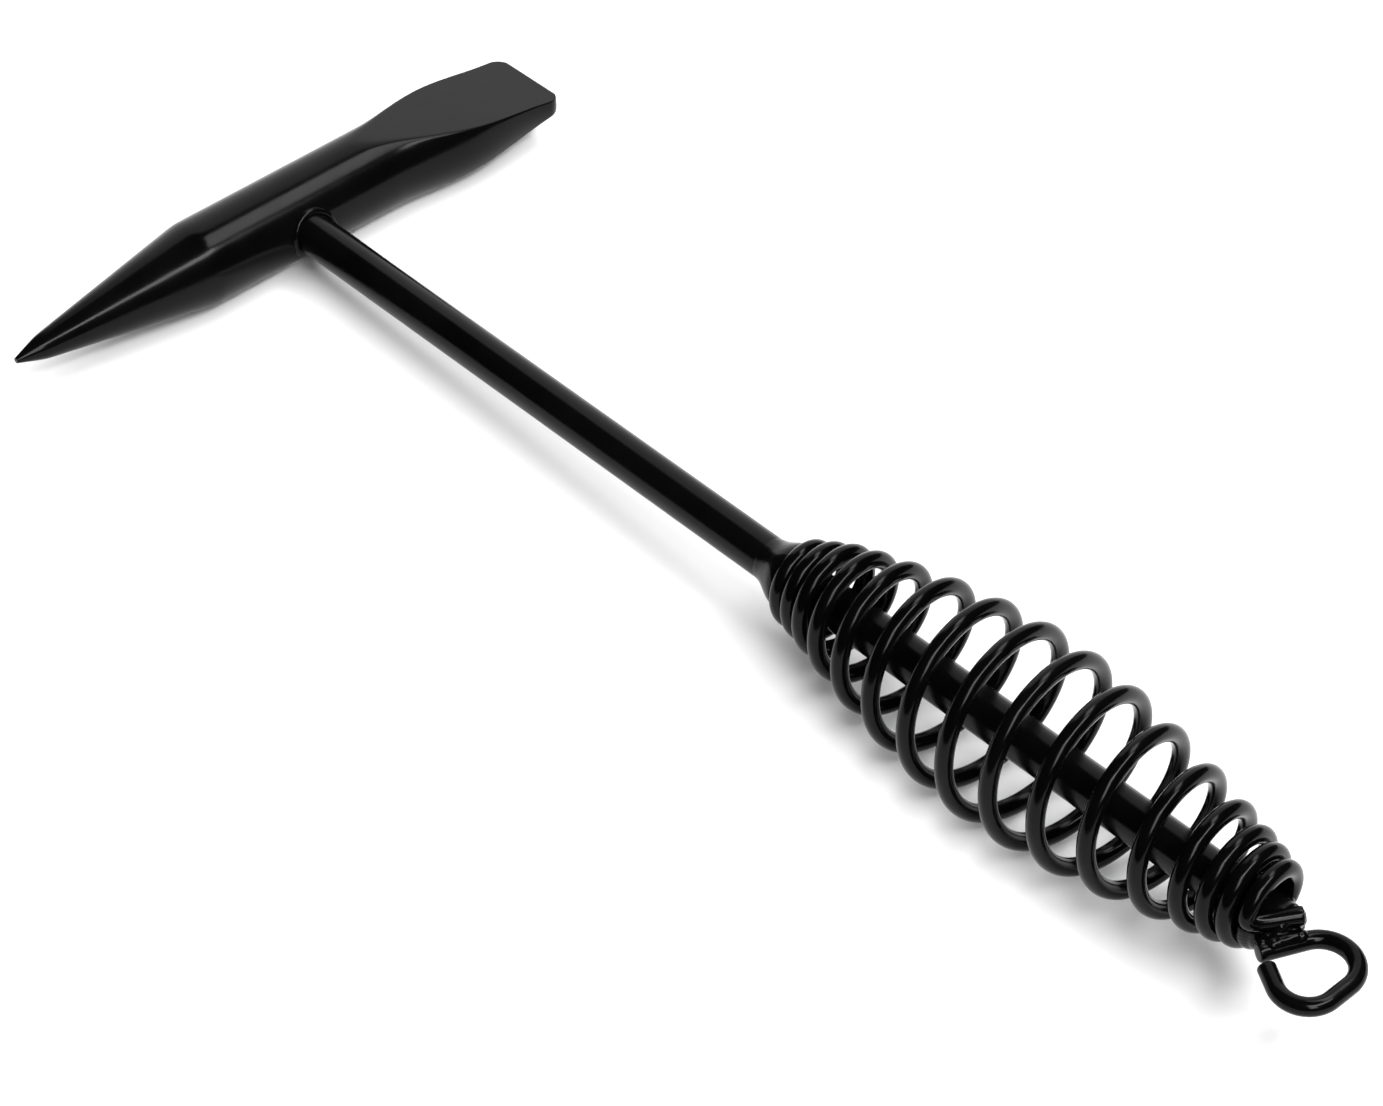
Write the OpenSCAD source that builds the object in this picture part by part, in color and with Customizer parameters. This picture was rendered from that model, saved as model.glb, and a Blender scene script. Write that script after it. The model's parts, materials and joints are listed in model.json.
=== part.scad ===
// Chipping hammer: a round steel head with a point and a chisel, on a rod handle with a barrel-shaped
// spring grip and a wire hanging ring. All lengths are in millimetres.
// The hammer lies on its side: +X runs along the handle to the ring, +Y to the chisel edge, +Z up.
// The origin is on the surface that it lies on, under the middle of its bounding box.

/* [Head] */
// Diameter of the round head bar
head_d = 17.8; // [15:0.2:19]
// From the handle's axis to the end of the point
point_reach = 65.6; // [58:0.2:75]
// From the handle's axis to the chisel edge
chisel_reach = 63.8; // [60:0.2:75]
// Length of the point's long cone, with its tip
cone_length = 42.6; // [36:1:48]
// Length of the steep tip
tip_length = 5.7; // [4:0.1:8]
// Diameter where the steep tip begins
tip_base_d = 5; // [4:0.1:6]
// Diameter of the blunt end of the tip
tip_end_d = 1; // [0.4:0.1:1.4]
// Length of the two flats of the chisel
flat_length = 46; // [40:1:48]
// Width of the chisel where it is widest
blade_w = 21.4; // [20:0.2:22]
// Width of the chisel at its edge
edge_w = 19.8; // [19:0.2:20.2]
// Thickness of the chisel edge
edge_t = 2.8; // [2:0.1:4]
// Depth of the blind seat for the rod, from the bar's side
seat_depth = 12; // [9:0.5:13]

/* [Handle rod] */
// Diameter of the rod
rod_d = 8.4; // [7:0.2:8.6]
// From the head's axis to the rod's back end
rod_reach = 263.1; // [262.8:0.1:263.3]
// Rounding of the rod's back end
rod_round = 0.8; // [0.4:0.1:1.2]

/* [Grip spring] */
// Diameter of the wire of the spring and of the ring
wire_d = 3.3; // [2.8:0.1:3.4]
// From the head's axis to the start of the wire's centreline
spring_start = 147.7; // [147:0.1:148]
// Number of turns
turns = 15.6; // [15.5:0.05:15.65]
// Angle around the handle at which the wire starts, in degrees
start_angle = 298; // [292:1:302]
// Pitch of the close turns beside the head end
front_pitch = 3.8; // [3.7:0.05:3.85]
// Pitch of the open turns
open_pitch = 10; // [9.85:0.05:10.05]
// Pitch of the close turns beside the ring
rear_pitch = 3.55; // [3.4:0.05:3.7]
// Radius of the wire's centreline at the front end
front_r = 6.2; // [6.1:0.05:6.5]
// Radius of the wire's centreline at the widest turn
middle_r = 16.7; // [15.6:0.05:17.5]
// Radius of the wire's centreline at the rear end
rear_r = 6.65; // [6.5:0.05:6.9]
// From the head's axis to the widest place of the grip
widest_at = 203; // [198:1:208]
// How full the barrel shape is: 2 is a parabola, less is fuller at the ends
barrel_power = 1.7; // [1.6:0.02:2]
// How far the turns stand off the rod's axis, upwards as the hammer lies
grip_rise = 1.2; // [0:0.05:1.25]
// How far the turns stand off the rod's axis, towards the chisel
grip_shift = 0.5; // [0:0.05:0.6]

/* [Hanging ring] */
// Distance of the ring's plane below the rod's axis
ring_drop = 0.5; // [0.2:0.1:0.7]
// Bend radius at the wide end of the ring
ring_wide_r = 5.8; // [5.4:0.1:6]
// Bend radius at the end beside the cut
ring_tight_r = 5.2; // [5:0.1:5.6]
// Length of the straight between the two bends
ring_side = 4.3; // [4:0.1:5]
// Length of the leg that is welded to the rod
ring_fixed_leg = 8.3; // [7.8:0.1:8.5]
// Length of the leg that ends in the cut
ring_free_leg = 4.3; // [4:0.1:4.8]

/* [Hidden] */
$fn = 64;

head_r = head_d / 2;
rod_r = rod_d / 2;
wire_r = wire_d / 2;
blade_r = blade_w / 2;
edge_r = edge_w / 2;
// Slip fit of the rod in its seat, on the radius
seat_gap = 0.05;
// Wedge angle of each chisel flat
flat_angle = atan((head_r - edge_t / 2) / flat_length);
// Length over which the corners of the chisel edge round off
corner_l = 2.4;

// The head bar and the widest turn both touch the surface, so the handle rises towards the ring
tilt = asin((middle_r + wire_r - head_r) / norm([widest_at, grip_rise])) - atan(grip_rise / widest_at);

// The turn numbers between which the pitch changes
open_from = 1.75;
open_at = 5.8;
close_from = 10.65;
close_at = 14.05;
// Length over which the turns move off the axis, and the share that the first turn has
offset_length = 10;
first_share = 0.15;
// Facets of the wire: stations in one turn, and sides around the wire
stations = 24;
sides = 8;

// Share of a smooth change from 0 to 1, as v goes from 0 to 1, summed up to v
function eased_sum(v) = pow(v, 3) - pow(v, 4) / 2;
// The same over the turns a to b, summed up to turn u
function ramp_sum(u, a, b) = (b - a) * eased_sum(min(max((u - a) / (b - a), 0), 1)) + max(u - b, 0);
// Place of turn u along the rod
function turn_x(u) = spring_start + front_pitch * u
    + (open_pitch - front_pitch) * ramp_sum(u, open_from, open_at)
    - (open_pitch - rear_pitch) * ramp_sum(u, close_from, close_at);
spring_end = turn_x(turns);

// Radius of the barrel at a place x along the rod
function barrel_r(x) = x < widest_at
    ? middle_r - (middle_r - front_r) * pow((widest_at - x) / (widest_at - spring_start), barrel_power)
    : middle_r - (middle_r - rear_r) * pow((x - widest_at) / (spring_end - widest_at), barrel_power);

function turn_angle(u) = start_angle + 360 * u;
function outward(u) = [0, cos(turn_angle(u)), sin(turn_angle(u))];
// How far the turns have moved off the rod's axis at x, from the first turn's share to 1
function offset_share(x) = let (v = min(1, (x - spring_start) / offset_length))
    first_share + (1 - first_share) * v * v * (3 - 2 * v);
function turn_centre(x) = [x, grip_shift * offset_share(x), grip_rise * offset_share(x)];
function wire_centre(u) = turn_centre(turn_x(u)) + barrel_r(turn_x(u)) * outward(u);
function unit(v) = v / norm(v);
function wire_heading(u) = unit(wire_centre(min(u + 0.01, turns)) - wire_centre(max(u - 0.01, 0)));
// Points of the wire's section at turn u
function wire_section(u) =
    let (t = wire_heading(u), side = unit(cross(t, outward(u))), out = cross(side, t))
    [for (k = [0 : sides - 1])
        wire_centre(u) + wire_r * (cos(360 * k / sides) * out + sin(360 * k / sides) * side)];

// How far a straight reaches into a bend, and how much thinner it is so that it ends inside it
lap = 0.3;
lap_step = 0.02;
// The ring's bends: centres and headings in the ring's plane, with headings counted from +X
fixed_heading = 65;
free_heading = 150;
fixed_end = [rod_reach + 3.9, 0.65];
wide_centre = fixed_end + ring_wide_r * [sin(fixed_heading), -cos(fixed_heading)];
tight_centre = wide_centre + [ring_wide_r - ring_tight_r, -ring_side];
free_start = tight_centre + ring_tight_r * [-sin(free_heading), cos(free_heading)];

// The middle of the bounding box, before it is moved over the origin
ring_tip_x = (wide_centre.x + ring_wide_r) * cos(tilt) + ring_drop * sin(tilt) + wire_r;
middle_x = (ring_tip_x - blade_r) / 2;
middle_y = (chisel_reach - point_reach) / 2;

// Lays the hammer down: its own X is the handle's axis, and its own origin is inside the head
module laid_down() {
    translate([-middle_x, -middle_y, head_r])
        rotate([0, -tilt, 0])
            children();
}

// A round solid about the handle's axis, from a half outline of [radius, place along the axis]
module turned_on_handle() {
    rotate([0, 90, 0])
        rotate_extrude()
            children();
}

// A round solid about the head's axis, from a half outline of [radius, place along the axis]
module turned_on_head() {
    rotate([-90, 0, 0])
        rotate_extrude()
            children();
}

module head_blank() {
    turned_on_head()
        polygon([
            [0, -point_reach],
            [tip_end_d / 2, -point_reach],
            [tip_base_d / 2, tip_length - point_reach],
            [head_r, cone_length - point_reach],
            [head_r, chisel_reach - 39],
            [(head_r + blade_r) / 2, chisel_reach - 30],
            [blade_r, chisel_reach - 20],
            [edge_r + 0.3, chisel_reach - 10],
            [edge_r, chisel_reach - corner_l],
            [edge_r - 0.4 * corner_l, chisel_reach - 0.4 * corner_l],
            [edge_r - corner_l, chisel_reach],
            [0, chisel_reach]
        ]);
}

// The metal that is cut away above one flat of the chisel
module flat_cut() {
    translate([-head_d, chisel_reach - flat_length, head_r])
        rotate([-flat_angle, 0, 0])
            cube([2 * head_d, 2 * flat_length, head_d]);
}

module hammer_head() {
    color("#1c1c1e")
        laid_down()
            difference() {
                head_blank();
                flat_cut();
                mirror([0, 0, 1]) flat_cut();
                translate([head_r - seat_depth, 0, 0])
                    rotate([0, 90, 0])
                        cylinder(r = rod_r + seat_gap, h = seat_depth + head_r);
            }
}

module handle_rod() {
    rod_length = rod_reach - head_r + seat_depth - seat_gap;
    color("#202022")
        laid_down()
            translate([rod_reach - rod_length, 0, 0])
                turned_on_handle() {
                    square([rod_r, rod_length - rod_round]);
                    square([rod_r - rod_round, rod_length]);
                    translate([rod_r - rod_round, rod_length - rod_round])
                        intersection() {
                            circle(r = rod_round);
                            square(rod_round);
                        }
                }
}

// A thin raised ring that follows the side of the head bar
module head_weld() {
    bead_r = rod_r + 1.3;
    bead_top = head_r + 0.5;
    color("#2a2a2c")
        laid_down()
            difference() {
                turned_on_handle()
                    polygon([
                        [rod_r, head_r - 3],
                        [bead_r, head_r - 3],
                        [bead_r, bead_top - 0.6],
                        [bead_r - 0.6, bead_top],
                        [rod_r, bead_top]
                    ]);
                rotate([90, 0, 0])
                    cylinder(r = head_r, h = 4 * rod_d, center = true);
            }
}

module grip_spring() {
    last = ceil(turns * stations);
    points = [for (i = [0 : last]) each wire_section(turns * i / last)];
    walls = [for (i = [0 : last - 1], k = [0 : sides - 1])
        let (a = i * sides + k, b = i * sides + (k + 1) % sides)
        each [[a, a + sides, b + sides], [a, b + sides, b]]];
    start_cap = [[for (k = [0 : sides - 1]) k]];
    end_cap = [[for (k = [sides - 1 : -1 : 0]) last * sides + k]];
    color("#18181a")
        laid_down()
            polyhedron(points, concat(walls, start_cap, end_cap));
}

// A smooth collar on the rod, just in front of the first turn
module front_spring_weld() {
    collar_r = front_r + 0.2;
    collar_end = spring_start - wire_r - 0.2;
    color("#2a2a2c")
        laid_down()
            turned_on_handle()
                polygon([
                    [rod_r, collar_end - 5],
                    [rod_r + 0.5, collar_end - 2.6],
                    [collar_r - 0.6, collar_end - 1],
                    [collar_r, collar_end],
                    [rod_r, collar_end]
                ]);
}

// A saddle of weld metal under the rod, just behind the last full turn
module rear_spring_weld() {
    saddle_start = spring_end + 0.1;
    saddle_l = rod_reach - rod_round - saddle_start;
    color("#2a2a2c")
        laid_down()
            difference() {
                rotate([0, 90, 0])
                    rotate_extrude(angle = 140, start = -70)
                        polygon([
                            [rod_r, saddle_start],
                            [rod_r + 2.4, saddle_start],
                            [rod_r + 2.2, saddle_start + saddle_l * 0.6],
                            [rod_r + 1, saddle_start + saddle_l],
                            [rod_r, saddle_start + saddle_l]
                        ]);
                ring_wire();
            }
}

// A round bend in the ring's plane, turning clockwise from one heading to the next
module bend(centre, r, heading, turn) {
    translate([centre.x, centre.y, 0])
        rotate_extrude(angle = turn, start = heading + 90 - turn)
            translate([r, 0])
                circle(r = wire_r);
}

// A straight run of wire in the ring's plane, which reaches a little way into the bends at its ends
module straight(from, heading, length) {
    translate([from.x, from.y, 0])
        rotate([0, 90, heading])
            translate([0, 0, -lap])
                cylinder(r = wire_r - lap_step, h = length + 2 * lap);
}

module ring_wire() {
    translate([0, 0, -ring_drop]) {
        straight(fixed_end, fixed_heading + 180, ring_fixed_leg);
        bend(wide_centre, ring_wide_r, fixed_heading, fixed_heading + 90);
        straight(wide_centre + [ring_wide_r, 0], -90, ring_side);
        bend(tight_centre, ring_tight_r, -90, 270 - free_heading);
        straight(free_start, free_heading, ring_free_leg);
    }
}

module hanging_ring() {
    color("#18181a")
        laid_down()
            ring_wire();
}

// A low dome of weld metal that holds the ring's fixed leg on the end of the rod
module ring_weld() {
    dome_r = rod_r - rod_round;
    color("#2a2a2c")
        laid_down()
            difference() {
                translate([rod_reach, 0, 0])
                    rotate([0, 90, 0])
                        cylinder(r1 = dome_r, r2 = dome_r - 1, h = wire_d);
                ring_wire();
            }
}

hammer_head();
handle_rod();
head_weld();
grip_spring();
front_spring_weld();
rear_spring_weld();
hanging_ring();
ring_weld();
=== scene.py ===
"""The looks of the chipping hammer: black-painted steel on a white studio floor."""

import json
from math import cos, exp, log, pi, radians, sin, sqrt

import bmesh
import bpy
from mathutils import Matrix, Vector, noise


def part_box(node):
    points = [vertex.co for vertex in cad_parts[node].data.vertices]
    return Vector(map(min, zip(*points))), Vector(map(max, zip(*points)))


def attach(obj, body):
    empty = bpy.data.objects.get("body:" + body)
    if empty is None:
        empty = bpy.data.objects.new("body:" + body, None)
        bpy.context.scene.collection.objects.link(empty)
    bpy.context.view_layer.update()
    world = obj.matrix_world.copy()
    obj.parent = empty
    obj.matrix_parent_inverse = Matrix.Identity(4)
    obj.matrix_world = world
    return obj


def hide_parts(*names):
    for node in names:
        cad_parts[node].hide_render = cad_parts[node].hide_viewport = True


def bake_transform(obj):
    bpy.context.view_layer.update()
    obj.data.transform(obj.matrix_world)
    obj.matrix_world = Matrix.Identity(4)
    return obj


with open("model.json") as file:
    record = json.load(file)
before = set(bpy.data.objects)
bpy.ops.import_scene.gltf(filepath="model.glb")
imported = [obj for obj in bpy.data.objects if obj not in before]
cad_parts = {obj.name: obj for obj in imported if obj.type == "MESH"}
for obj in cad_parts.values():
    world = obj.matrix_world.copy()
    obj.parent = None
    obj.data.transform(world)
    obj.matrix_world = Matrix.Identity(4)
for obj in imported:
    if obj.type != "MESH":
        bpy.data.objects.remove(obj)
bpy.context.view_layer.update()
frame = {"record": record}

MM = 0.001

# The hammer's own frame: x along the handle from the head's axis, y towards the
# chisel edge, z up from the plane of head and handle. All lengths in millimetres.

MOUNTS = {m["name"]: m for m in frame["record"]["mounts"]}
head_low, head_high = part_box("hammer_head")
along = Vector(MOUNTS["shank"]["axis"]).normalized()
across = Vector((0, 1, 0))
upward = along.cross(across)
head_centre = Vector((
    (head_low.x + head_high.x) / 2,
    MOUNTS["shank"]["pos_m"][1],
    (head_low.z + head_high.z) / 2,
))


def place(x, y, z):
    """A point of the hammer's own frame, in millimetres, as a point of the row frame, in metres."""
    return head_centre + (x * along + y * across + z * upward) * MM


def own(point):
    """A point of the row frame, in metres, in the hammer's own frame, in millimetres."""
    d = (Vector(point) - head_centre) / MM
    return Vector((d.dot(along), d.dot(across), d.dot(upward)))


# Sizes of the steel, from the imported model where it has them
HEAD_R = (head_high.z - head_low.z) / 2 / MM
BLADE_R = (head_high.x - head_low.x) / 2 / MM
POINT_Y = own((head_centre.x, head_low.y, head_centre.z)).y
EDGE_Y = own((head_centre.x, head_high.y, head_centre.z)).y
ROD_R = 4.2
WIRE_R = 1.65
SEAT_DEPTH, SEAT_GAP = 12.0, 0.05
ROD_START = HEAD_R - SEAT_DEPTH
ROD_END = 263.1

# The point: a long cone with a steep, blunt tip
CONE_LENGTH = 42.6
TIP_LENGTH = 5.7
TIP_BASE_R = 2.5
TIP_END_R = 0.55

# The chisel: two flats that meet the edge, and a blade that widens towards it
FLAT_LENGTH = 46.0
EDGE_HALF = 1.4
FLAT_SLOPE = (HEAD_R - EDGE_HALF) / FLAT_LENGTH
FLARE_BACK, WIDEST_BACK, NARROW_BACK = 41.0, 20.0, 5.0
EDGE_R = 9.9
CORNER_R = 3.2
EDGE_RIM = 0.35

# The grip's wire
SPRING_START = 147.7
TURNS = 15.6
START_ANGLE = radians(298)
FRONT_PITCH, OPEN_PITCH, REAR_PITCH = 3.8, 10.0, 3.55
OPEN_FROM, OPEN_AT = 1.75, 5.8
CLOSE_FROM, CLOSE_AT = 10.65, 14.05
FRONT_R, MIDDLE_R, REAR_R = 6.2, 16.7, 6.65
WIDEST_AT = 203.0
BARREL_POWER = 1.7
GRIP_SHIFT, GRIP_RISE = 0.5, 1.2
OFFSET_LENGTH, FIRST_SHARE = 10.0, 0.15

# The hanging ring, in a plane just below the rod's axis
RING_DROP = 0.5
RING_WIDE_R, RING_TIGHT_R = 5.8, 5.2
RING_SIDE = 4.3
RING_FIXED_LEG, RING_FREE_LEG = 8.3, 4.3
FIXED_HEADING, FREE_HEADING = radians(65), radians(150)


# Mesh helpers

def eased(v):
    v = min(max(v, 0.0), 1.0)
    return v * v * (3 - 2 * v)


def soft_min(k, *values):
    """The least of some lengths, with the corner between them rounded over about k."""
    low = min(values)
    return low - k * log(sum(exp((low - v) / k) for v in values))


def add_mesh(name, points, faces, sharp=None):
    """A smooth-shaded mesh object from points of the hammer's frame."""
    mesh = bpy.data.meshes.new(name)
    mesh.from_pydata([place(*p) for p in points], [], faces)
    mesh.validate()
    mesh.shade_smooth()
    if sharp is not None:
        mesh.set_sharp_from_angle(angle=radians(sharp))
    piece = bpy.data.objects.new(name, mesh)
    bpy.context.scene.collection.objects.link(piece)
    return piece


def loft(name, rings, sharp=None, closed=False):
    """A skin through rings of points, all with the same count. An open loft gets a cap on each end."""
    count = len(rings[0])
    points = [p for ring in rings for p in ring]
    faces = []
    spans = len(rings) if closed else len(rings) - 1
    for i in range(spans):
        a, b = i * count, (i + 1) % len(rings) * count
        for k in range(count):
            n = (k + 1) % count
            faces.append((a + k, a + n, b + n, b + k))
    if not closed:
        for ring, flip in ((0, True), (len(rings) - 1, False)):
            centre = len(points)
            points.append(tuple(sum(p[j] for p in rings[ring]) / count for j in range(3)))
            for k in range(count):
                a, b = ring * count + k, ring * count + (k + 1) % count
                faces.append((b, a, centre) if flip else (a, b, centre))
    piece = add_mesh(name, points, faces, sharp)
    outward_normals(piece)
    return piece


def outward_normals(piece):
    """Turns every face outwards, whichever way round its rings were drawn."""
    shape = bmesh.new()
    shape.from_mesh(piece.data)
    bmesh.ops.recalc_face_normals(shape, faces=shape.faces)
    if shape.calc_volume(signed=True) < 0:
        bmesh.ops.reverse_faces(shape, faces=shape.faces)
    shape.to_mesh(piece.data)
    shape.free()


def sweep(name, path, radii, sides=24, hint=Vector((1, 0, 0)), sharp=None):
    """Round wire along a path of points, with one radius for each point. The ends are closed."""
    path = [Vector(p) for p in path]
    rings = []
    for i, centre in enumerate(path):
        tangent = (path[min(i + 1, len(path) - 1)] - path[max(i - 1, 0)]).normalized()
        side = tangent.cross(hint).normalized()
        other = side.cross(tangent)
        rings.append([
            tuple(centre + radii[i] * (cos(2 * pi * k / sides) * side + sin(2 * pi * k / sides) * other))
            for k in range(sides)
        ])
    return loft(name, rings, sharp)


def rounded_end(path, radii, rim, start=False, steps=4):
    """Adds a quarter-round rim to the end of a swept path."""
    path, radii = list(path), list(radii)
    if start:
        path, radii = path[::-1], radii[::-1]
    end, r = Vector(path[-1]), radii[-1]
    heading = (end - Vector(path[-2])).normalized()
    for k in range(1, steps + 1):
        a = k / steps * pi / 2
        path.append(end + heading * rim * sin(a))
        radii.append(r - rim * (1 - cos(a)))
    return (path[::-1], radii[::-1]) if start else (path, radii)


def lumps(point, size, seed):
    """A smooth seeded value from about -1 to 1, which changes over about size millimetres."""
    return noise.noise(Vector(point) / size + Vector((seed, 2.7 * seed, -1.3 * seed)))


# Materials: near-black paint over steel. Its sheen is weak, because the photo's floor is overexposed.

PAINT_SPECULAR = 0.11


def black_paint(name, colour, rough_low, rough_high, wave, dimple, weld=0.0):
    """Paint with cloudy roughness, a faint wave and fine orange peel. weld adds a weld bead's ripple."""
    material = bpy.data.materials.new(name)
    material.use_nodes = True
    nodes, links = material.node_tree.nodes, material.node_tree.links
    shader = nodes["Principled BSDF"]
    shader.inputs["Metallic"].default_value = 0.0
    shader.inputs["IOR"].default_value = 1.5
    shader.inputs["Specular IOR Level"].default_value = PAINT_SPECULAR

    coords = nodes.new("ShaderNodeTexCoord")

    def cloud(scale, detail, roughness=0.5):
        texture = nodes.new("ShaderNodeTexNoise")
        texture.inputs["Scale"].default_value = scale
        texture.inputs["Detail"].default_value = detail
        texture.inputs["Roughness"].default_value = roughness
        links.new(coords.outputs["Object"], texture.inputs["Vector"])
        return texture.outputs["Fac"]

    def spread(value, low, high):
        ramp = nodes.new("ShaderNodeMapRange")
        ramp.inputs["From Min"].default_value = 0.3
        ramp.inputs["From Max"].default_value = 0.7
        ramp.inputs["To Min"].default_value = low
        ramp.inputs["To Max"].default_value = high
        links.new(value, ramp.inputs["Value"])
        return ramp.outputs["Result"]

    tint = nodes.new("ShaderNodeValToRGB")
    tint.color_ramp.elements[0].position = 0.35
    tint.color_ramp.elements[0].color = (colour * 0.7, colour * 0.7, colour * 0.72, 1)
    tint.color_ramp.elements[1].position = 0.65
    tint.color_ramp.elements[1].color = (colour * 1.3, colour * 1.3, colour * 1.36, 1)
    links.new(cloud(60, 3), tint.inputs["Fac"])
    links.new(tint.outputs["Color"], shader.inputs["Base Color"])
    links.new(spread(cloud(140, 4), rough_low, rough_high), shader.inputs["Roughness"])

    normal = None
    layers = [(220, 2, wave, 0.0006), (2600, 2, dimple, 0.00012)]
    if weld:
        layers.append((900, 3, weld, 0.0004))
    for scale, detail, strength, distance in layers:
        bump = nodes.new("ShaderNodeBump")
        bump.inputs["Strength"].default_value = strength
        bump.inputs["Distance"].default_value = distance
        links.new(cloud(scale, detail), bump.inputs["Height"])
        if normal is not None:
            links.new(normal, bump.inputs["Normal"])
        normal = bump.outputs["Normal"]
    links.new(normal, shader.inputs["Normal"])
    return material


SATIN = black_paint("satin_black_paint", 0.0015, 0.14, 0.20, 0.03, 0.05)
GLOSS = black_paint("gloss_black_paint", 0.0012, 0.12, 0.18, 0.05, 0.04)
WELD = black_paint("weld_black_paint", 0.0012, 0.13, 0.20, 0.08, 0.05, weld=0.08)


def finish_piece(piece, node, material, body="root"):
    piece.data.materials.append(material)
    if body:
        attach(piece, body)
    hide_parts(node)


# Head

def head_radius(y):
    """Radius of the head's round form at y, before the flats are cut."""
    if y < 0:
        from_tip = y - POINT_Y
        steep = TIP_END_R + (TIP_BASE_R - TIP_END_R) * from_tip / TIP_LENGTH
        cone = TIP_BASE_R + (HEAD_R - TIP_BASE_R) * (from_tip - TIP_LENGTH) / (CONE_LENGTH - TIP_LENGTH)
        return soft_min(0.1, steep, cone, HEAD_R)
    back = EDGE_Y - y
    if back > WIDEST_BACK:
        blade = HEAD_R + (BLADE_R - HEAD_R) * eased((FLARE_BACK - back) / (FLARE_BACK - WIDEST_BACK))
    else:
        blade = BLADE_R - (BLADE_R - EDGE_R) * eased((WIDEST_BACK - back) / (WIDEST_BACK - NARROW_BACK))
    into_corner = max(0.0, CORNER_R - back)
    return blade - CORNER_R + sqrt(max(CORNER_R ** 2 - into_corner ** 2, 0.0))


def head_section(y, inset=0.0, sides=224):
    """The head's outline at y: a circle, flattened above and below by the two flats."""
    r = head_radius(y) - inset
    flat = EDGE_HALF - inset + FLAT_SLOPE * (EDGE_Y - y)
    section = []
    for k in range(sides):
        a = 2 * pi * k / sides
        z = r * sin(a)
        if y > 0:
            z = soft_min(0.16, abs(z), flat) * (1 if z >= 0 else -1) if abs(z) > flat - 1.5 else z
        section.append((r * cos(a), y, z))
    return section


def head_stations():
    """Places along the head, closer together at its corners."""
    y, places = POINT_Y, []
    shoulder = POINT_Y + CONE_LENGTH
    tip = POINT_Y + TIP_LENGTH
    while y < EDGE_Y - 0.5:
        places.append(y)
        near_ends = y < POINT_Y + 0.8 or y > EDGE_Y - CORNER_R - 0.3
        fine = near_ends or min(abs(y - shoulder), abs(y - tip)) < 1.2
        y += 0.15 if fine else 0.6
    return places


head_rings = [head_section(y) for y in head_stations()]
for step in range(5):
    a = step / 4 * pi / 2
    head_rings.append(head_section(EDGE_Y - EDGE_RIM * (1 - sin(a)), inset=EDGE_RIM * (1 - cos(a))))
head = loft("hammer_head_steel", head_rings)

# The blind seat that the rod is welded into
seat_steps = [
    (ROD_START, 0.5), (ROD_START, ROD_R + SEAT_GAP), (HEAD_R + 4, ROD_R + SEAT_GAP), (HEAD_R + 4, 0.5),
]
seat = loft("seat_cutter", [
    [(x, r * cos(2 * pi * k / 96), r * sin(2 * pi * k / 96)) for k in range(96)] for x, r in seat_steps
])
cut = head.modifiers.new("seat", "BOOLEAN")
cut.operation = "DIFFERENCE"
cut.solver = "EXACT"
cut.object = seat
bpy.context.view_layer.update()
drilled = bpy.data.meshes.new_from_object(head.evaluated_get(bpy.context.evaluated_depsgraph_get()))
head.modifiers.clear()
head.data = drilled
head.data.set_sharp_from_angle(angle=radians(50))
bpy.data.objects.remove(seat)
finish_piece(head, "hammer_head", SATIN)


# Rod

def rod_ring(x, r, sides=96):
    return [(x, r * cos(2 * pi * k / sides), r * sin(2 * pi * k / sides)) for k in range(sides)]


ROD_ROUND = 0.8
ROD_CHAMFER = 0.4
straight_start = ROD_START + 0.1 + ROD_CHAMFER
straight_length = ROD_END - ROD_ROUND - straight_start
rod_rings = [rod_ring(ROD_START + 0.1, ROD_R - ROD_CHAMFER), rod_ring(straight_start, ROD_R)]
rod_rings += [rod_ring(straight_start + straight_length * k / 90, ROD_R) for k in range(1, 91)]
for k in range(1, 7):
    a = k / 6 * pi / 2
    rod_rings.append(rod_ring(ROD_END - ROD_ROUND * (1 - sin(a)), ROD_R - ROD_ROUND * (1 - cos(a))))
rod = loft("handle_rod_steel", rod_rings)
finish_piece(rod, "handle_rod", SATIN)

# The bead where the rod enters the head: it follows the side of the round bar
bead_rings = []
for i in range(144):
    a = 2 * pi * i / 144
    swell = 1 + 0.16 * lumps((3 * cos(a), 3 * sin(a), 0), 1.3, 5)
    ring = []
    for k in range(16):
        b = 2 * pi * k / 16
        out = ROD_R + 0.5 + 0.62 * swell * cos(b)
        y, z = out * cos(a), out * sin(a)
        ring.append((sqrt(HEAD_R ** 2 - z * z) + 0.05 + 0.55 * swell * sin(b), y, z))
    bead_rings.append(ring)
bead = loft("head_weld_bead", bead_rings, closed=True)
finish_piece(bead, "head_weld", WELD)


# Grip: one wire, made as a front and a rear half

def eased_sum(v):
    v = min(max(v, 0.0), 1.0)
    return v ** 3 - v ** 4 / 2


def ramp_sum(u, a, b):
    return (b - a) * eased_sum((u - a) / (b - a)) + max(u - b, 0.0)


def turn_x(u):
    return (SPRING_START + FRONT_PITCH * u
            + (OPEN_PITCH - FRONT_PITCH) * ramp_sum(u, OPEN_FROM, OPEN_AT)
            - (OPEN_PITCH - REAR_PITCH) * ramp_sum(u, CLOSE_FROM, CLOSE_AT))


SPRING_END = turn_x(TURNS)


def barrel_r(x):
    if x < WIDEST_AT:
        end_r, share = FRONT_R, (WIDEST_AT - x) / (WIDEST_AT - SPRING_START)
    else:
        end_r, share = REAR_R, (x - WIDEST_AT) / (SPRING_END - WIDEST_AT)
    return MIDDLE_R - (MIDDLE_R - end_r) * max(share, 0.0) ** BARREL_POWER


def wire_centre(u):
    x = turn_x(u)
    a = START_ANGLE + 2 * pi * u
    share = FIRST_SHARE + (1 - FIRST_SHARE) * eased((x - SPRING_START) / OFFSET_LENGTH)
    return Vector((x, GRIP_SHIFT * share + barrel_r(x) * cos(a), GRIP_RISE * share + barrel_r(x) * sin(a)))


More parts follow.
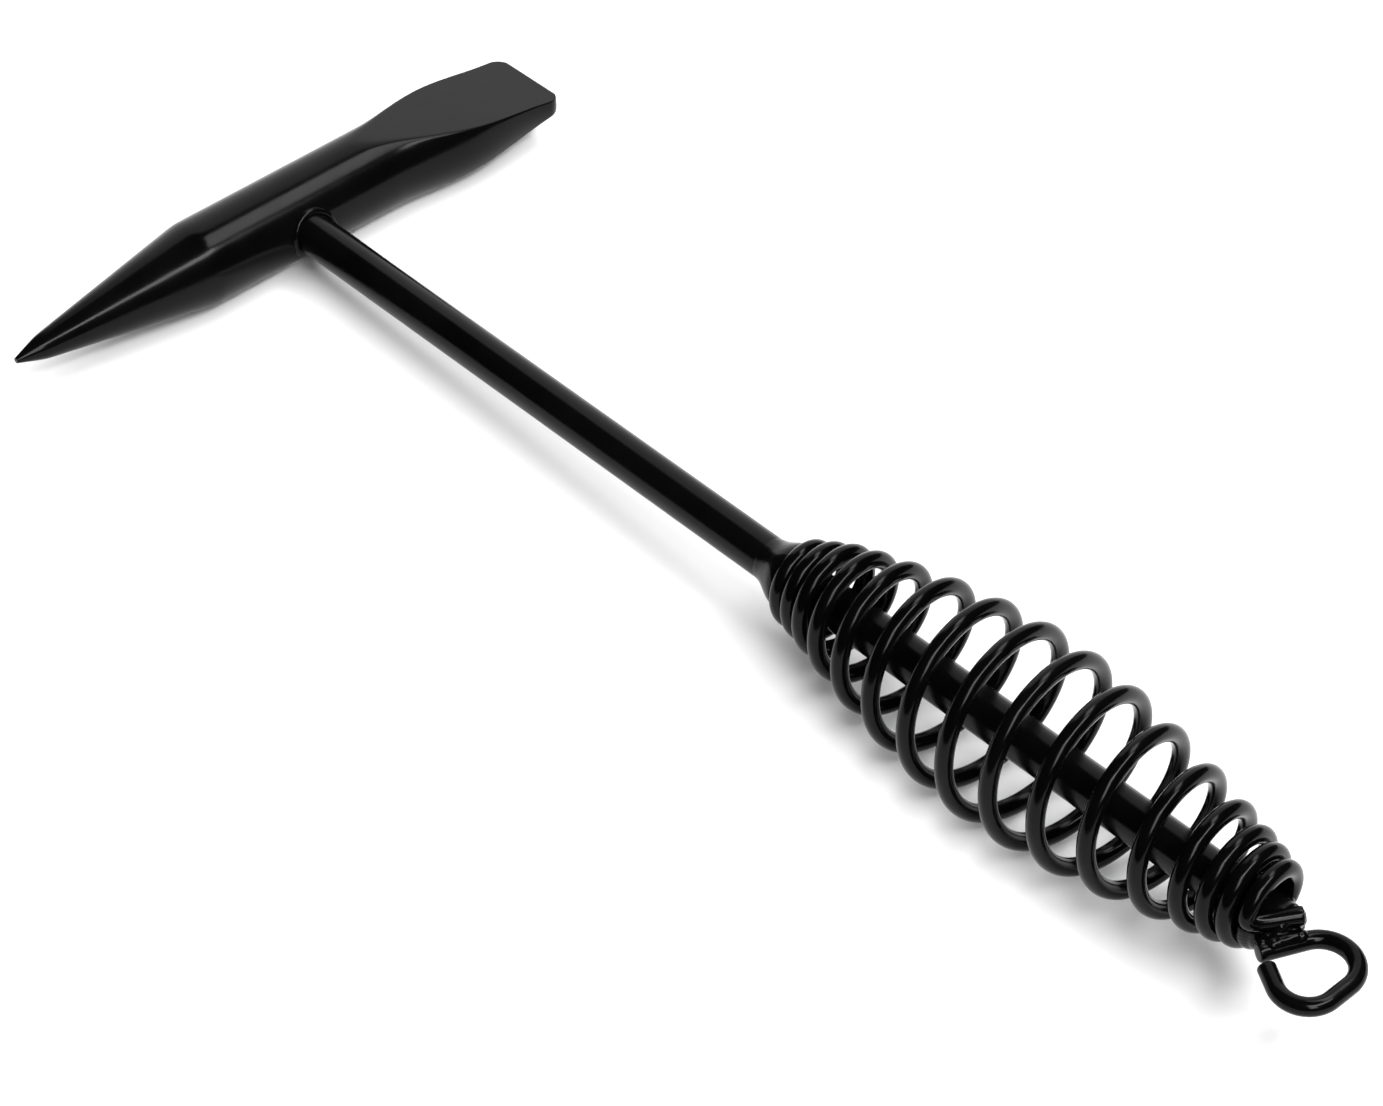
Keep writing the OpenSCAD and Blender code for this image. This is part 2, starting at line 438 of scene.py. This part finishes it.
def wire_piece(name, first, last, tail=(), per_turn=72):
    count = max(2, round((last - first) * per_turn))
    path = [wire_centre(first + (last - first) * i / count) for i in range(count + 1)]
    path += tail
    radii = [WIRE_R] * len(path)
    if tail:
        path, radii = rounded_end(path, radii, 0.3)
    return sweep(name, path, radii, sides=20, sharp=50)


def tail_path(start, heading, leave, arrive, end, count=22):
    """A smooth bend from the last turn to the wire's end, and no further."""
    p0, p1, p2, p3 = start, start + heading * leave, end - TAIL_HEADING * arrive, end
    return [
        (1 - t) ** 3 * p0 + 3 * (1 - t) ** 2 * t * p1 + 3 * (1 - t) * t * t * p2 + t ** 3 * p3
        for t in (i / count for i in range(1, count + 1))
    ]


# How many turns in the wire's two halves meet: just past the widest place of the grip
MIDDLE_TURN = next(u / 100 for u in range(int(TURNS * 100)) if turn_x(u / 100) > WIDEST_AT)
front_wire = wire_piece("grip_wire_front", 0.0, MIDDLE_TURN)
last_point = wire_centre(TURNS)
last_heading = (last_point - wire_centre(TURNS - 0.01)).normalized()
# The wire's tail turns across the end of the rod, above the ring's fixed leg
TAIL_HEADING = Vector((cos(radians(52)), sin(radians(52)), 0))
TAIL_END = Vector((ROD_END + 1.6, 1.6, 2.9))
rear_wire = wire_piece(
    "grip_wire_rear", MIDDLE_TURN, TURNS, tail_path(last_point, last_heading, 2.6, 3.6, TAIL_END)
)
for piece, fixed, moving, start, end in (
    (front_wire, "root", "grip", SPRING_START, WIDEST_AT - 3),
    (rear_wire, "grip", "root", WIDEST_AT + 3, SPRING_END),
):
    finish_piece(piece, "grip_spring", GLOSS, body=None)
    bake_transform(piece)

# The smooth collar that flows from the rod into the first turn
COLLAR_BACK, COLLAR_LENGTH = 8.5, 8.2
collar_rings = []
for i in range(25):
    v = i / 24
    x = SPRING_START - COLLAR_BACK + COLLAR_LENGTH * v
    base = ROD_R - 0.25 + 0.25 * eased(v * 4)
    r = base + (FRONT_R + 0.35 - ROD_R) * eased(v) ** 1.6
    collar_rings.append([
        (x, (r + 0.05 * lumps((x, 3 * cos(a), 3 * sin(a)), 2.2, 3)) * cos(a),
         (r + 0.05 * lumps((x, 3 * cos(a), 3 * sin(a)), 2.2, 3)) * sin(a))
        for a in (2 * pi * k / 96 for k in range(96))
    ])
collar_rings.append(rod_ring(SPRING_START + 0.2, FRONT_R))
collar_rings.append(rod_ring(SPRING_START + 0.4, ROD_R - 0.3))
collar = loft("front_spring_weld_collar", collar_rings)
finish_piece(collar, "front_spring_weld", WELD)


# Hanging ring

def flat_heading(a):
    return Vector((cos(a), sin(a), 0))


def clockwise(centre, r, heading, turn, step=radians(4)):
    """Points of a clockwise bend, from just after its start to its end."""
    count = max(2, round(turn / step))
    return [centre + r * flat_heading(heading + pi / 2 - turn * k / count) for k in range(1, count + 1)]


fixed_end = Vector((ROD_END + 3.9, 0.65, -RING_DROP))
wide_centre = fixed_end + RING_WIDE_R * Vector((sin(FIXED_HEADING), -cos(FIXED_HEADING), 0))
tight_centre = wide_centre + Vector((RING_WIDE_R - RING_TIGHT_R, -RING_SIDE, 0))
fixed_start = fixed_end - RING_FIXED_LEG * flat_heading(FIXED_HEADING)
ring_path = [fixed_start + (fixed_end - fixed_start) * k / 14 for k in range(15)]
ring_path += clockwise(wide_centre, RING_WIDE_R, FIXED_HEADING, FIXED_HEADING + pi / 2)
ring_path += [ring_path[-1] + Vector((0, -RING_SIDE * k / 6, 0)) for k in range(1, 7)]
ring_path += clockwise(tight_centre, RING_TIGHT_R, -pi / 2, 3 * pi / 2 - FREE_HEADING)
free_start = ring_path[-1]
ring_path += [free_start + flat_heading(FREE_HEADING) * RING_FREE_LEG * k / 8 for k in range(1, 9)]
ring_radii = [WIRE_R] * len(ring_path)
ring_path, ring_radii = rounded_end(ring_path, ring_radii, 0.22)
ring_path, ring_radii = rounded_end(ring_path, ring_radii, 0.3, start=True)
ring = sweep("hanging_ring_wire", ring_path, ring_radii, sides=28, hint=Vector((0, 0, 1)))
finish_piece(ring, "hanging_ring", GLOSS)


# Rear welds: lumps that run together, remeshed into one skin each

def weld_mass(name, balls, voxel=0.16, wobble=0.12, size=1.1, seed=1):
    """Melts balls (x, y, z, radius) in the hammer's frame into one smooth lumpy skin."""
    shape = bmesh.new()
    for x, y, z, r in balls:
        blob = bmesh.ops.create_icosphere(shape, subdivisions=4, radius=r * MM)
        for v in blob["verts"]:
            v.co += place(x, y, z)
    mesh = bpy.data.meshes.new(name)
    shape.to_mesh(mesh)
    shape.free()
    piece = bpy.data.objects.new(name, mesh)
    bpy.context.scene.collection.objects.link(piece)
    melt = piece.modifiers.new("melt", "REMESH")
    melt.mode = "VOXEL"
    melt.voxel_size = voxel * MM
    flow = piece.modifiers.new("flow", "SMOOTH")
    flow.factor = 0.5
    flow.iterations = 9
    bpy.context.view_layer.update()
    melted = bpy.data.meshes.new_from_object(piece.evaluated_get(bpy.context.evaluated_depsgraph_get()))
    piece.modifiers.clear()
    piece.data = melted
    for v in melted.vertices:
        v.co += v.normal * wobble * MM * lumps(own(v.co), size, seed)
    melted.shade_smooth()
    return piece


def arc_of_balls(x, r_path, from_deg, to_deg, ball, count):
    """Balls along an arc around the rod, with angles from +Y towards +Z."""
    balls = []
    for k in range(count):
        f = k / (count - 1)
        a = radians(from_deg + (to_deg - from_deg) * f)
        balls.append((x, r_path * cos(a), r_path * sin(a), ball))
    return balls


saddle_balls = arc_of_balls(SPRING_END - 0.6, 5.0, 175, 345, 1.7, 22)
saddle_balls += arc_of_balls(SPRING_END + 0.9, 4.5, 175, 340, 1.5, 20)
saddle_balls += arc_of_balls(SPRING_END + 2.2, 3.7, 180, 330, 1.35, 18)
saddle = weld_mass("rear_spring_weld_saddle", saddle_balls, wobble=0.05, size=2.0, seed=4)
finish_piece(saddle, "rear_spring_weld", WELD)

# The cap: a smooth run along the ring's leg, a ridge under the wire's tail, and two beads at the leg's end
ring_leg = [fixed_start.lerp(fixed_end, k / 20) for k in range(21)]
cap_balls = [(ROD_END + 0.1, 2.7 * cos(a), 2.7 * sin(a), 1.5) for a in (2 * pi * k / 16 for k in range(16))]
cap_balls += [(ROD_END + 0.3, 0.2, 0.4, 2.2), (ROD_END + 1.0, -1.6, 1.0, 1.15)]
cap_balls += [(p.x - 0.35, p.y - 0.1, p.z + 0.75, 1.55) for p in ring_leg[6:19]]
cap_balls += [(p.x - 0.2, p.y - 0.3, p.z + 1.5, 0.95) for p in ring_leg[9:17]]
cap_balls += [(fixed_start.x - 0.5, fixed_start.y + 1.0, 0.5, 1.0)]
cap_balls += [(fixed_start.x - 0.9, fixed_start.y + 2.4, 0.9, 0.9)]
cap = weld_mass("ring_weld_cap", cap_balls, wobble=0.07, size=1.3, seed=9)
finish_piece(cap, "ring_weld", WELD)


# Studio

def plain_material(name, colour, roughness):
    material = bpy.data.materials.new(name)
    material.use_nodes = True
    shader = material.node_tree.nodes["Principled BSDF"]
    shader.inputs["Base Color"].default_value = (colour, colour, colour, 1)
    shader.inputs["Roughness"].default_value = roughness
    shader.inputs["Specular IOR Level"].default_value = 0.0
    return material


floor_mesh = bpy.data.meshes.new("studio_floor")
floor_mesh.from_pydata([(-6, -6, 0), (6, -6, 0), (6, 6, 0), (-6, 6, 0)], [], [(0, 1, 2, 3)])
floor = bpy.data.objects.new("studio_floor", floor_mesh)
floor.data.materials.append(plain_material("studio_white", 0.92, 0.9))
bpy.context.scene.collection.objects.link(floor)


def softbox(name, where, target, width, height, power):
    light = bpy.data.lights.new(name, "AREA")
    light.shape = "RECTANGLE"
    light.size, light.size_y = width, height
    light.energy = power
    lamp = bpy.data.objects.new(name, light)
    lamp.location = where
    lamp.rotation_euler = (Vector(target) - Vector(where)).to_track_quat("-Z", "Y").to_euler()
    bpy.context.scene.collection.objects.link(lamp)
    return lamp


# The camera: the viewpoint in the hammer's own frame, and what it looks along in the row frame
eye = place(528.0, -351.5, 477.6)
camera_azimuth = radians(47.86)
camera_elevation = radians(44.03)
forward = Vector((
    -sin(camera_azimuth) * cos(camera_elevation),
    cos(camera_azimuth) * cos(camera_elevation),
    -sin(camera_elevation),
))
camera_data = bpy.data.cameras.new("camera")
camera_data.lens = 103.03
camera_data.sensor_width = 36
camera_data.clip_start = 0.01
camera = bpy.data.objects.new("camera", camera_data)
camera.location = eye
camera.rotation_euler = forward.to_track_quat("-Z", "Y").to_euler()
bpy.context.scene.collection.objects.link(camera)
bpy.context.scene.camera = camera

image_right = Vector((cos(camera_azimuth), sin(camera_azimuth), 0))
image_back = Vector((-sin(camera_azimuth), cos(camera_azimuth), 0))


def studio_point(right, back, height):
    """A place in the studio, in metres, as the camera sees it: to the right, away from it, and up."""
    return image_right * right + image_back * back + Vector((0, 0, height))


softbox("key_back", studio_point(0.44, 0.30, 1.08), (0, 0, 0), 0.6, 0.28, 4.0)
softbox("key_middle", studio_point(0.58, -0.40, 1.08), (0, 0, 0), 0.8, 0.2, 9)
softbox("key_front", studio_point(0.25, -0.8, 0.85), (0, 0, 0), 0.3, 0.7, 7.5)
softbox("backdrop", studio_point(0.1, 1.7, 1.4), studio_point(0.1, 0, 1.4), 2.3, 2.8, 29)
fill = softbox("floor_fill", studio_point(0, 0.1, 2.5), (0, 0, 0), 3.2, 3.2, 66)
fill.visible_glossy = False

world = bpy.data.worlds.new("studio_air")
world.use_nodes = True
world.node_tree.nodes["Background"].inputs["Color"].default_value = (1, 1, 1, 1)
world.node_tree.nodes["Background"].inputs["Strength"].default_value = 0.02
bpy.context.scene.world = world
bpy.context.scene.view_settings.view_transform = "Standard"
